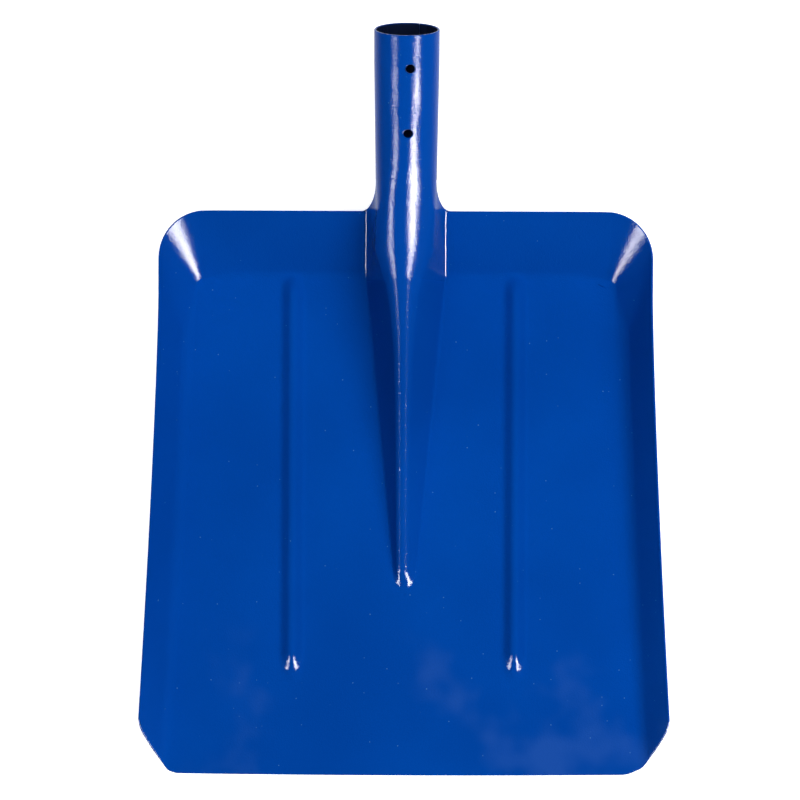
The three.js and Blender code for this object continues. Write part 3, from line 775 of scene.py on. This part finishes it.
class Pieces:
    """Gives the sheet its thickness, cut edges their rounding and each piece its closed mesh."""

    def __init__(self, sheet):
        self.points = np.array(sheet.points, float)
        self.quads = np.array(sheet.quads, int)
        self.owners = np.array(sheet.owners)
        corners = self.points[self.quads]
        face_normals = unit(np.cross(corners[:, 2] - corners[:, 0], corners[:, 3] - corners[:, 1]))
        self.normals = np.zeros_like(self.points)
        for k in range(4):
            before, here, after = corners[:, k - 1], corners[:, k], corners[:, (k + 1) % 4]
            cosine = (unit(before - here) * unit(after - here)).sum(1)
            weight = np.arccos(np.clip(cosine, -1, 1))
            np.add.at(self.normals, self.quads[:, k], face_normals * weight[:, None])
        self.normals = unit(self.normals)
        self.find_edges()

    def find_edges(self):
        """Sorts edges used once into cut edges, and finds which way out of the sheet they face."""
        users = {}
        for number, quad in enumerate(self.quads):
            for k in range(4):
                users.setdefault((quad[k], quad[(k + 1) % 4]), number)
        self.users = users
        self.cut = {edge for edge in users if (edge[1], edge[0]) not in users}
        self.outward = np.zeros_like(self.points)
        ways = {}
        for a, b in self.cut:
            normal = self.normals[a] + self.normals[b]
            way = np.cross(self.points[b] - self.points[a], normal)
            way /= np.linalg.norm(way)
            for vertex in (a, b):
                self.outward[vertex] += way
                ways.setdefault(vertex, []).append(way)
        for vertex, found in ways.items():
            way = self.outward[vertex] - self.normals[vertex] * (self.outward[vertex] @ self.normals[vertex])
            way /= np.linalg.norm(way)
            self.outward[vertex] = way / max(MITRE_LIMIT, way @ found[0])
        self.on_cut = set(ways)

    def mesh(self, owner):
        """Vertices, faces, loop normals and the share of edge at each vertex of one piece."""
        vertices, edge_share, faces, face_normals = [], [], [], []
        numbers = {}

        def vertex(point, level):
            """Level 0 is the upper side and the last one the lower; those between round an edge."""
            key = (point, level)
            if key not in numbers:
                base, normal = self.points[point], self.normals[point]
                angle = math.pi / 2 - math.pi * level / ROUND_LEVELS
                sine, cosine = math.sin(angle), math.cos(angle)
                out = self.outward[point] if point in self.on_cut else np.zeros(3)
                place = base + normal * SHEET / 2 * (1 + sine) - out * EDGE_ROUND * (1 - cosine)
                facing = normal * sine * EDGE_ROUND + out * cosine * SHEET / 2
                if level in (0, ROUND_LEVELS):
                    facing = normal * sine
                numbers[key] = len(vertices)
                vertices.append((place, facing / np.linalg.norm(facing)))
                edge_share.append(cosine if point in self.on_cut else 0.0)
            return numbers[key]

        def smooth_face(corners):
            faces.append(corners)
            face_normals.extend(vertices[c][1] for c in corners)

        mine = self.owners == owner
        for number in np.nonzero(mine)[0]:
            quad = [int(v) for v in self.quads[number]]
            smooth_face([vertex(v, 0) for v in quad])
            smooth_face([vertex(v, ROUND_LEVELS) for v in reversed(quad)])
        for (a, b), number in self.users.items():
            if not mine[number]:
                continue
            if (a, b) in self.cut:
                for level in range(ROUND_LEVELS):
                    smooth_face([vertex(b, level), vertex(a, level),
                                 vertex(a, level + 1), vertex(b, level + 1)])
                continue
            if mine[self.users[(b, a)]]:
                continue
            down = range(ROUND_LEVELS + 1) if a in self.on_cut else (0, ROUND_LEVELS)
            up = range(ROUND_LEVELS, -1, -1) if b in self.on_cut else (ROUND_LEVELS, 0)
            corners = [vertex(a, level) for level in down] + [vertex(b, level) for level in up]
            normal = np.cross(self.points[b] - self.points[a], self.normals[a])
            normal /= np.linalg.norm(normal)
            faces.append(corners)
            face_normals.extend([normal] * len(corners))
        return np.array([v[0] for v in vertices]), faces, face_normals, edge_share


def mesh_object(name, vertices, faces, loop_normals=None, **attributes):
    mesh = bpy.data.meshes.new(name)
    mesh.from_pydata((np.asarray(vertices) * MM).tolist(), [], faces)
    for label, values in attributes.items():
        attribute = mesh.attributes.new(label, "FLOAT", "POINT")
        attribute.data.foreach_set("value", np.asarray(values, np.float32))
    mesh.shade_smooth()
    if loop_normals is not None:
        mesh.normals_split_custom_set([tuple(n) for n in loop_normals])
    mesh.validate()
    obj = bpy.data.objects.new(name, mesh)
    bpy.context.scene.collection.objects.link(obj)
    return obj


# ---- weld beads
BEAD_RADIUS = 0.95
BEAD_SIDES = 14
BEAD_STEP = 0.34
BEAD_END = 1.5  # radii over which an end is rounded
BEAD_TIP = 0.02
RIPPLE_PITCH = 1.7
RIPPLE_DEPTH = 0.13
SWELLS = ((0.07, 0.9, 0.0), (0.05, 2.3, 1.0))  # share, pace and phase of the bead's unevenness
ACROSS = (0.31, 0.17, 0.93)  # a direction that no bead runs along


def bead_object(name, path):
    """A closed rippled bead along a path of points, round at both ends."""
    path = np.asarray(path, float)
    length = lengths_along(path)[-1]
    parts = np.linspace(0, 1, max(8, round(length / BEAD_STEP)))
    line = respaced(path, parts)
    ahead = unit(np.gradient(line, axis=0))
    aside = unit(np.cross(ahead, ACROSS))
    up = np.cross(aside, ahead)
    stops = parts * length
    end = np.clip(np.minimum(stops, length - stops) / (BEAD_END * BEAD_RADIUS), 0, 1)
    taper = np.sqrt(np.clip(1 - (1 - end) ** 2, BEAD_TIP, 1))
    ripple = 1 - RIPPLE_DEPTH * (0.5 + 0.5 * np.cos(2 * np.pi * stops / RIPPLE_PITCH)) ** 2
    ripple *= 1 + sum(share * np.sin(stops * pace + phase) for share, pace, phase in SWELLS)
    radius = BEAD_RADIUS * taper * ripple
    turns = np.arange(BEAD_SIDES) * 2 * np.pi / BEAD_SIDES
    rings = (line[:, None] + radius[:, None, None]
             * (aside[:, None] * np.cos(turns)[:, None] + up[:, None] * np.sin(turns)[:, None]))
    vertices = rings.reshape(-1, 3)
    count = len(line)
    faces = [list(range(BEAD_SIDES))[::-1], [(count - 1) * BEAD_SIDES + k for k in range(BEAD_SIDES)]]
    for ring in range(count - 1):
        for k in range(BEAD_SIDES):
            n = (k + 1) % BEAD_SIDES
            a, b = ring * BEAD_SIDES, (ring + 1) * BEAD_SIDES
            faces.append([a + k, a + n, b + n, b + k])
    return mesh_object(name, vertices, faces)


ROOT_BEAD_SUNK = 0.45  # depth of the bead's middle under the sheet's lower side
ROOT_BEAD_FROM, ROOT_BEAD_TO = FOLD_BACK_Y + 7, RIM_BACK_Y - 5.4
FROG_BEAD_RAISED = 0.5
FROG_BEAD_PART = 0.86  # share of the half section that the bead runs along
SEAM_BEAD_OFF = 0.35
SEAM_BEAD_FROM, SEAM_BEAD_TO = socket_travel(SEAM_START_Y) + 4, SOCKET_LENGTH - 1.2


def root_bead_path(side):
    """Up the outside of the back wall, behind the crease beside the neck."""
    down_y, down_z = ROOT_BEAD_SUNK * math.sin(BACK_SLOPE), ROOT_BEAD_SUNK * math.cos(BACK_SLOPE)
    return [(side * JOINT_X, y + down_y, back_wall_height(y) - down_z)
            for y in np.linspace(ROOT_BEAD_FROM, ROOT_BEAD_TO, 24)]


def frog_bead_path():
    """Across the underside of the frog, under the joint."""
    section = half_section(JOINT_Y)
    half = respaced(section, np.linspace(0, FROG_BEAD_PART, 60))
    tangent = unit(np.gradient(half, axis=0))
    inner = half + FROG_BEAD_RAISED * np.stack([tangent[:, 1], -tangent[:, 0]], 1)
    crest = section[0, 1]
    whole = [(-x, z) for x, z in inner[:0:-1]] + [(0.0, inner[0, 1])] + [(x, z) for x, z in inner[1:]]
    return [(x + crest_shift(JOINT_Y, z, crest), JOINT_Y, z) for x, z in whole]


def seam_bead_path():
    """Down the rear seam, outside the tube."""
    return [bore_point(travel, math.pi - SEAM_ANGLE, SHEET + SEAM_BEAD_OFF)
            for travel in np.linspace(SEAM_BEAD_FROM, SEAM_BEAD_TO, 30)]


# ---- materials
class Nodes:
    """The node tree of a material, the world or a lamp, under construction."""

    def __init__(self, owner):
        owner.use_nodes = True
        self.tree = owner.node_tree

    def node(self, kind, links=None, **settings):
        made = self.tree.nodes.new(kind)
        for label, value in settings.items():
            setattr(made, label, value)
        for label, value in (links or {}).items():
            self.give(made.inputs[label], value)
        return made

    def give(self, socket, value):
        if isinstance(value, bpy.types.NodeSocket):
            self.tree.links.new(value, socket)
        else:
            socket.default_value = value

    def math(self, operation, a, b):
        return self.node("ShaderNodeMath", {0: a, 1: b}, operation=operation).outputs[0]

    def blend(self, share, a, b):
        """Colour a where share is 0 and b where it is 1."""
        mix = self.node("ShaderNodeMix", {"Factor": share}, data_type="RGBA")
        for slot, value in ((6, a), (7, b)):
            self.give(mix.inputs[slot], (*value, 1) if isinstance(value, tuple) else value)
        return mix.outputs[2]


class Shader(Nodes):
    """A node material under construction."""

    def __init__(self, name):
        self.material = bpy.data.materials.new(name)
        super().__init__(self.material)
        self.principled = self.tree.nodes["Principled BSDF"]
        self.place = self.node("ShaderNodeTexCoord").outputs["Object"]

    def noise(self, scale, detail=2.0, roughness=0.5):
        links = {"Vector": self.place, "Scale": scale, "Detail": detail, "Roughness": roughness}
        return self.node("ShaderNodeTexNoise", links).outputs["Fac"]

    def ramp(self, value, low, high):
        """0 below low, 1 above high, smooth between."""
        links = {"Value": value, "From Min": low, "From Max": high}
        return self.node("ShaderNodeMapRange", links, interpolation_type="SMOOTHSTEP").outputs[0]

    def spread(self, value, low, high):
        """Runs evenly from low to high as the value goes from 0 to 1."""
        return self.node("ShaderNodeMapRange", {"Value": value, "To Min": low, "To Max": high}).outputs[0]

    def bump(self, height, distance, under=None):
        links = {"Height": height, "Distance": distance, "Strength": 1.0}
        if under is not None:
            links["Normal"] = under
        return self.node("ShaderNodeBump", links).outputs["Normal"]

    def attribute(self, name):
        return self.node("ShaderNodeAttribute", attribute_name=name).outputs["Fac"]

    def link(self, output, socket):
        self.tree.links.new(output, self.principled.inputs[socket])

    def set(self, **values):
        for label, value in values.items():
            self.principled.inputs[label.replace("_", " ")].default_value = value


PAINT_DEEP = (0.0003, 0.050, 0.315)
PAINT_BRIGHT = (0.0004, 0.060, 0.365)
PAINT_SHADED = (0.001, 0.035, 0.22)
# near-black painted shade inside the socket's bore, where little paint reaches as well
PAINT_BORE_SHADE = (0.006, 0.011, 0.035)
# pale lavender patches towards the front edge: a painted reflection, as a slightly wavy sheet would mirror
PAINT_REFLECTION_PATCH = (0.014, 0.078, 0.37)
REFLECTION_PATCH_SHARE = 0.7
REFLECTION_PATCHES_FROM, REFLECTION_PATCHES_FULL = -0.14, -0.19  # towards the front edge, in metres
# dust nibs: raised by a bump, and painted lighter for the glint they catch, a painted highlight
SPECK_GLINT = (0.10, 0.30, 0.58)
SPECK_SCALE = 260.0
SPECK_RADIUS = 0.15  # in cells, of which one in ten holds a speck
SPECK_HEIGHT = 0.00006
# pale cut edges: partly rubbed wear, partly a painted highlight where the edges catch light
CUT_EDGE_WORN_AND_LIT = (0.36, 0.42, 0.55)
ORANGE_PEEL = ((1000.0, 1.0, 0.4, 0.00012), (420.0, 1.5, 0.5, 0.00007), (22.0, 1.0, 0.4, 0.00030))
FADES_FROM, FADES_TO, FADED = 0.30, 0.47, 0.03


def blue_paint(name, fading=False):
    """Glossy blue paint. With fading, its gloss is weaker where it is seen at a glancing angle."""
    shader = Shader(name)
    cloudy = shader.ramp(shader.noise(7.0, 3.0), 0.3, 0.7)
    mottled = shader.ramp(shader.noise(160.0, 2.0), 0.25, 0.75)
    colour = shader.blend(cloudy, PAINT_DEEP, PAINT_BRIGHT)
    colour = shader.blend(shader.math("MULTIPLY", mottled, 0.12), colour, PAINT_DEEP)
    # painted reflection: cloudy pale lavender patches that grow towards the front edge
    reflection_patches = shader.ramp(shader.noise(11.0, 3.0, 0.6), 0.50, 0.68)
    along = shader.node("ShaderNodeSeparateXYZ", {0: shader.place}).outputs["Y"]
    reflection_patches = shader.math("MULTIPLY", reflection_patches, shader.ramp(along, REFLECTION_PATCHES_FROM, REFLECTION_PATCHES_FULL))
    colour = shader.blend(shader.math("MULTIPLY", reflection_patches, REFLECTION_PATCH_SHARE), colour, PAINT_REFLECTION_PATCH)
    # specks: real dust nibs with a bump, painted lighter as a painted glint
    cells = shader.node("ShaderNodeTexVoronoi", {"Vector": shader.place, "Scale": SPECK_SCALE})
    picked = shader.node("ShaderNodeSeparateColor", {0: cells.outputs["Color"]}).outputs[0]
    rare = shader.math("GREATER_THAN", picked, 0.90)
    speck = shader.math("MULTIPLY", shader.ramp(cells.outputs["Distance"], SPECK_RADIUS, 0.0), rare)
    colour = shader.blend(shader.math("MULTIPLY", speck, 0.7), colour, SPECK_GLINT)
    # cut edges painted pale in patches: partly wear, partly a painted highlight
    wear_and_glint_patches = shader.ramp(shader.noise(420.0, 3.0, 0.6), 0.35, 0.6)
    edge = shader.math("MULTIPLY", shader.ramp(shader.attribute("edge_share"), 0.35, 0.95), wear_and_glint_patches)
    colour = shader.blend(edge, colour, CUT_EDGE_WORN_AND_LIT)
    # painted shade inside the socket's bore
    colour = shader.blend(shader.attribute("bore_share"), colour, PAINT_BORE_SHADE)
    shader.link(colour, "Base Color")
    shader.link(shader.spread(shader.noise(45.0, 3.0), 0.17, 0.23), "Roughness")
    normal = shader.bump(speck, SPECK_HEIGHT)
    for scale, detail, roughness, height in ORANGE_PEEL:
        normal = shader.bump(shader.noise(scale, detail, roughness), height, under=normal)
    for socket in ("Normal", "Coat Normal"):
        shader.link(normal, socket)
    shader.set(Metallic=0.0, IOR=1.5, Specular_IOR_Level=0.0, Coat_Weight=1.0, Coat_Roughness=0.10,
               Coat_IOR=1.5)
    if fading:
        facing = shader.node("ShaderNodeLayerWeight", {"Blend": 0.5}).outputs["Facing"]
        links = {"Value": facing, "From Min": FADES_FROM, "From Max": FADES_TO,
                 "To Min": 1.0, "To Max": FADED}
        weight = shader.node("ShaderNodeMapRange", links, interpolation_type="SMOOTHSTEP")
        shader.link(weight.outputs[0], "Coat Weight")
    return shader.material


def weld_paint(name):
    shader = Shader(name)
    patch = shader.ramp(shader.noise(300.0, 3.0), 0.35, 0.7)
    shader.link(shader.blend(patch, PAINT_DEEP, PAINT_SHADED), "Base Color")
    shader.link(shader.spread(shader.noise(200.0, 2.0), 0.35, 0.6), "Roughness")
    shader.link(shader.bump(shader.noise(900.0, 3.0, 0.6), 0.00012), "Normal")
    shader.set(Metallic=0.0, IOR=1.5, Coat_Weight=0.7, Coat_Roughness=0.14)
    return shader.material


# ---- pieces
# the painted shade inside the bore grows over these travels, and stops at the mouth's lip
BORE_DARKENS = (20.0, 48.0)  # along the socket's axis
MOUTH_LIP = (0.7, 0.1)  # from the mouth, where the paint is whole again
# where the cut edges are painted pale: partly wear, partly a painted highlight that the edges catch
FRONT_WEAR_AND_GLINT = (-6.0, 4.0)  # from the end of the cut corner at the rim
MOUTH_WEAR_AND_GLINT = (60.0, 90.0)  # from the rim of the back wall
MOUTH_WEAR_AND_GLINT_SHARE = 0.75


def bore_share(vertices):
    """Share of painted shade inside the rolled tube, where little paint reaches as well: 1 deep in the bore
    and 0 elsewhere.
    """
    x, y, z = vertices.T
    tilt_y, tilt_z = math.cos(SOCKET_TILT), math.sin(SOCKET_TILT)
    off_y, off_z = y - RIM_BACK_Y, z - SOCKET_AXIS_Z
    travel = off_y * tilt_y + off_z * tilt_z
    up = off_z * tilt_y - off_y * tilt_z
    bore = lerp(BORE_NECK, BORE_MOUTH, np.clip(travel / TAPER_LENGTH, 0, 1))
    inner = np.hypot(x, up) < bore + SHEET / 2
    lip = smoothstep(travel, SOCKET_LENGTH - MOUTH_LIP[0], SOCKET_LENGTH - MOUTH_LIP[1])
    return np.where(inner, smoothstep(travel, *BORE_DARKENS) * (1 - lip), 0.0)


def edge_wear_and_glint(vertices):
    """How much a cut edge is painted pale, partly for wear and partly as a painted highlight that the edge
    catches: most at the front, some at the mouth, little elsewhere.
    """
    y = vertices[:, 1]
    front = 1 - smoothstep(y - CHAMFER_RIM_Y, *FRONT_WEAR_AND_GLINT)
    return np.maximum(front, MOUTH_WEAR_AND_GLINT_SHARE * smoothstep(y - RIM_BACK_Y, *MOUTH_WEAR_AND_GLINT))


def add_pieces():
    paints = {"blade": blue_paint("blue_powder_coat_pan", fading=True),
              "socket": blue_paint("blue_powder_coat")}
    weld = weld_paint("coated_weld")
    pieces = Pieces(build_sheet())
    for name in ("blade", "socket"):
        vertices, faces, loop_normals, edge = pieces.mesh(name)
        # painted shade inside the socket's bore
        inside = bore_share(vertices) if name == "socket" else np.zeros(len(vertices))
        # cut edges painted pale: partly wear, partly a painted highlight
        worn_and_glinting = np.asarray(edge) * edge_wear_and_glint(vertices)
        obj = mesh_object(name + "_sheet", vertices, faces, loop_normals, edge_share=worn_and_glinting, bore_share=inside)
        obj.data.materials.append(paints[name])
        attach(obj, "root")
        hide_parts(name)
    beads = {"root_weld_left": root_bead_path(-1), "root_weld_right": root_bead_path(1),
             "frog_weld": frog_bead_path(), "seam_weld": seam_bead_path()}
    for node, path in beads.items():
        obj = bead_object(node + "_bead", path)
        obj.data.materials.append(weld)
        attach(obj, "root")
        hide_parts(node)


# ---- stage, lights and camera
FLOOR_HALF = 6.0
FLOOR_DROP = 0.0004  # below the part, so that the two don't touch
FLOOR_COLOUR = (0.9, 0.9, 0.9, 1)
FLOOR_GLOW = 0.75
BACKDROP = (0.92, 0.93, 0.95)  # what the camera sees past the table
ROOM_MIRRORED = (0.0, 0.0, 0.0)  # the gloss sees a dark room between the lamps
TABLE_MIRRORED = (0.62, 0.66, 0.80)  # and the pale table, below
TABLE_FROM, TABLE_FULL = -0.30, -0.85  # upward part of a mirrored ray where the table fades in
KEY_AZIMUTH, KEY_ELEVATION, KEY_DISTANCE, KEY_SIZE, KEY_RADIANCE = -14, 54, 2.4, 1.6, 4.5
CEILING_HEIGHT, CEILING_SIZE, CEILING_RADIANCE = 2.6, 5.2, 1.14
PANEL_DISTANCE = 3.2
# each panel's azimuth, width, bottom, top, radiance, and the pieces that it lights
PANELS = {
    "panel_right": (-49, 1.50, 0.05, 3.40, 32.0, "socket"),
    "panel_left": (219, 0.80, 0.05, 2.90, 13.0, "socket"),
    "flag_right": (-49, 1.05, 0.05, 2.75, 24.0, "blade"),
    "flag_left": (223, 0.75, 0.05, 2.70, 15.0, "blade"),
    "strip_right": (-62, 0.90, 0.28, 0.86, 40.0, "socket"),
    "strip_left": (242, 0.90, 0.28, 0.86, 30.0, "socket"),
}
LIT = {"socket": ("socket_sheet",),
       "blade": ("blade_sheet", "root_weld_left_bead", "root_weld_right_bead", "frog_weld_bead",
                 "seam_weld_bead")}


def add_floor():
    mesh = bpy.data.meshes.new("stage_floor")
    corners = [(x * FLOOR_HALF, y * FLOOR_HALF, -FLOOR_DROP) for x, y in ((-1, -1), (1, -1), (1, 1), (-1, 1))]
    mesh.from_pydata(corners, [], [(0, 1, 2, 3)])
    obj = bpy.data.objects.new("stage_floor", mesh)
    bpy.context.scene.collection.objects.link(obj)
    shader = Shader("pale_floor")
    shader.set(Base_Color=FLOOR_COLOUR, Roughness=0.9, Specular_IOR_Level=0.0,
               Emission_Color=(1, 1, 1, 1), Emission_Strength=FLOOR_GLOW)
    obj.data.materials.append(shader.material)
    obj.visible_glossy = False


def direction(azimuth, elevation):
    """Unit vector; azimuth 0 is +X and 90 is +Y."""
    a, e = math.radians(azimuth), math.radians(elevation)
    return Vector((math.cos(a) * math.cos(e), math.sin(a) * math.cos(e), math.sin(e)))


def add_lamp(name, place, facing, width, height, radiance):
    """A rectangular lamp at a place, facing a way. Its radiance is that of its surface."""
    data = bpy.data.lights.new(name, "AREA")
    data.shape = "RECTANGLE"
    data.size, data.size_y = width, height
    data.energy = radiance * width * height * math.pi
    obj = bpy.data.objects.new(name, data)
    bpy.context.scene.collection.objects.link(obj)
    obj.location = place
    obj.rotation_euler = facing.to_track_quat("-Z", "Y").to_euler()
    obj.visible_camera = False
    return obj


def add_soft_light(name, place, facing, size, radiance):
    """A square lamp that lights surfaces and is never mirrored."""
    obj = add_lamp(name, place, facing, size, size, radiance)
    obj.visible_glossy = False
    obj.data.cycles.use_multiple_importance_sampling = False


def receivers(name, pieces):
    """The pieces that a lamp lights."""
    collection = bpy.data.collections.new(name)
    for piece in pieces:
        collection.objects.link(bpy.data.objects[piece])
    return collection


def add_panel(name, azimuth, width, bottom, top, radiance, lit):
    """An upright softbox that only the gloss of some pieces sees, and only mirrored once."""
    way = direction(azimuth, 0)
    place = way * PANEL_DISTANCE + Vector((0, 0, (bottom + top) / 2))
    obj = add_lamp(name, place, -way, width, top - bottom, radiance)
    obj.visible_diffuse = False
    obj.light_linking.receiver_collection = lit
    nodes = Nodes(obj.data)
    path = nodes.node("ShaderNodeLightPath")
    once = nodes.math("LESS_THAN", path.outputs["Glossy Depth"], 1.5)  # 1 is the first mirroring
    nodes.tree.links.new(once, nodes.tree.nodes["Emission"].inputs["Strength"])


def add_world():
    """A dark room over a pale table, for the reflections, and a pale backdrop for the camera."""
    world = bpy.data.worlds.new("studio")
    bpy.context.scene.world = world
    nodes = Nodes(world)
    place = nodes.node("ShaderNodeTexCoord")
    split = nodes.node("ShaderNodeSeparateXYZ", {0: place.outputs["Generated"]})
    links = {"Value": split.outputs["Z"], "From Min": TABLE_FROM, "From Max": TABLE_FULL}
    fade = nodes.node("ShaderNodeMapRange", links)
    mirrored = nodes.blend(fade.outputs[0], ROOM_MIRRORED, TABLE_MIRRORED)
    path = nodes.node("ShaderNodeLightPath")
    seen = nodes.blend(path.outputs["Is Camera Ray"], mirrored, BACKDROP)
    nodes.tree.links.new(seen, nodes.tree.nodes["Background"].inputs["Color"])


def add_lights():
    add_world()
    way = direction(KEY_AZIMUTH, KEY_ELEVATION)
    add_soft_light("key", way * KEY_DISTANCE, -way, KEY_SIZE, KEY_RADIANCE)
    above = Vector((0, 0, CEILING_HEIGHT))
    add_soft_light("ceiling", above, Vector((0, 0, -1)), CEILING_SIZE, CEILING_RADIANCE)
    lit = {name: receivers(name + "_lit", pieces) for name, pieces in LIT.items()}
    for name, (*settings, pieces) in PANELS.items():
        add_panel(name, *settings, lit[pieces])


CAMERA_HEIGHT = 1.5
CAMERA_LENS = 99.3
CAMERA_X, CAMERA_Y = -0.0035, 0.005
CAMERA_ROLL = math.radians(0.23)


def add_camera():
    data = bpy.data.cameras.new("camera")
    data.lens = CAMERA_LENS
    data.sensor_width = 36.0
    obj = bpy.data.objects.new("camera", data)
    bpy.context.scene.collection.objects.link(obj)
    obj.location = (CAMERA_X, CAMERA_Y, CAMERA_HEIGHT)
    obj.rotation_euler = (0, 0, CAMERA_ROLL)
    bpy.context.scene.camera = obj


add_pieces()
add_floor()
add_lights()
add_camera()
bpy.context.scene.view_settings.view_transform = "Standard"
